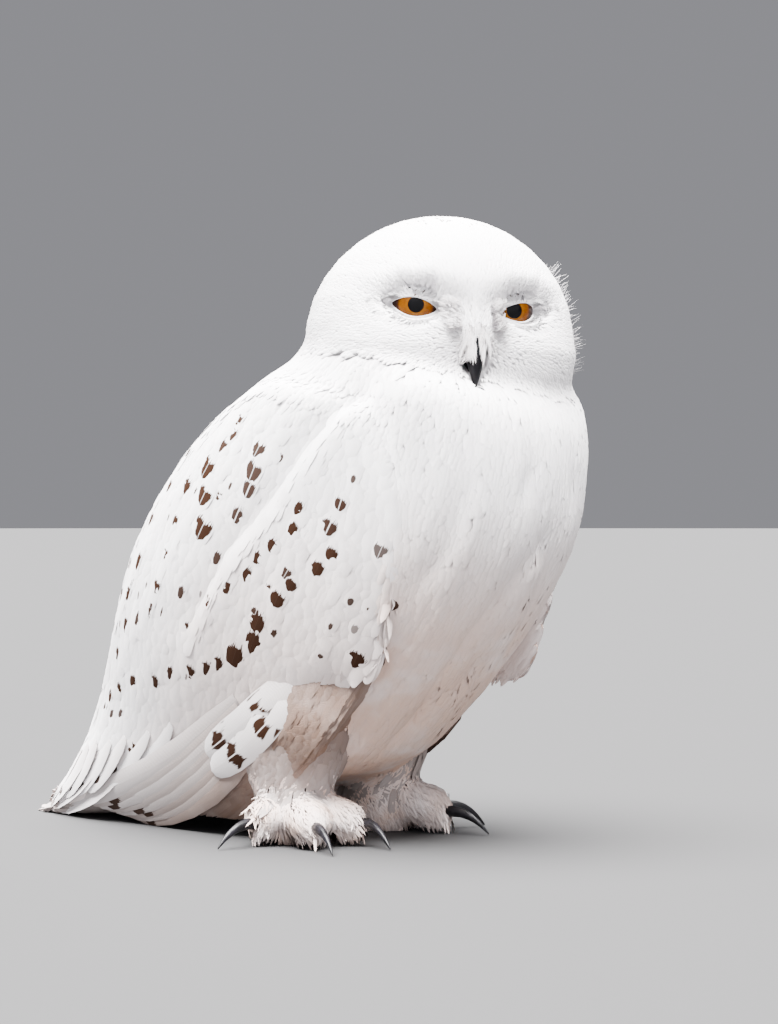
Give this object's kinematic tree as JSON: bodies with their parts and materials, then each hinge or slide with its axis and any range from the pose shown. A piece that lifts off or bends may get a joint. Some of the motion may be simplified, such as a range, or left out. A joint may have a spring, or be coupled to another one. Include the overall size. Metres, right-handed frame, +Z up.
{
  "type": "snowy owl",
  "caption": "Adult male snowy owl standing upright on feathered feet, wings folded, tail down and head turned to its right, as a still life-size model.",
  "frame": {"origin": "middle of the bounding box at floor level, under the body", "axes": "+Z up, -Y the way the body faces, +X to the owl's own left"},
  "size_m": [0.2076, 0.3926, 0.365],
  "materials": {
    "white_plumage": "soft matte feathers with dark brown marks on back and wings",
    "cream_plumage": "soft matte hair-like feathers, warm cream",
    "claw": "smooth dark grey horn with a soft sheen",
    "bill": "smooth black horn, satin",
    "eye": "amber iris round a black pupil under a clear wet cornea"
  },
  "bodies": {
    "root": {"head": "white_plumage", "neck": "white_plumage", "trunk": "white_plumage", "tail": "white_plumage", "wing_left": "white_plumage", "wing_right": "white_plumage", "leg_left": "cream_plumage", "leg_right": "cream_plumage", "foot_left": "cream_plumage", "foot_right": "cream_plumage", "claw_left_hind": "claw", "claw_left_inner": "claw", "claw_left_middle": "claw", "claw_left_outer": "claw", "claw_right_hind": "claw", "claw_right_inner": "claw", "claw_right_middle": "claw", "claw_right_outer": "claw", "bill_upper": "bill", "bill_lower": "bill", "eye_left": "eye", "eye_right": "eye"}
  },
  "joints": []
}
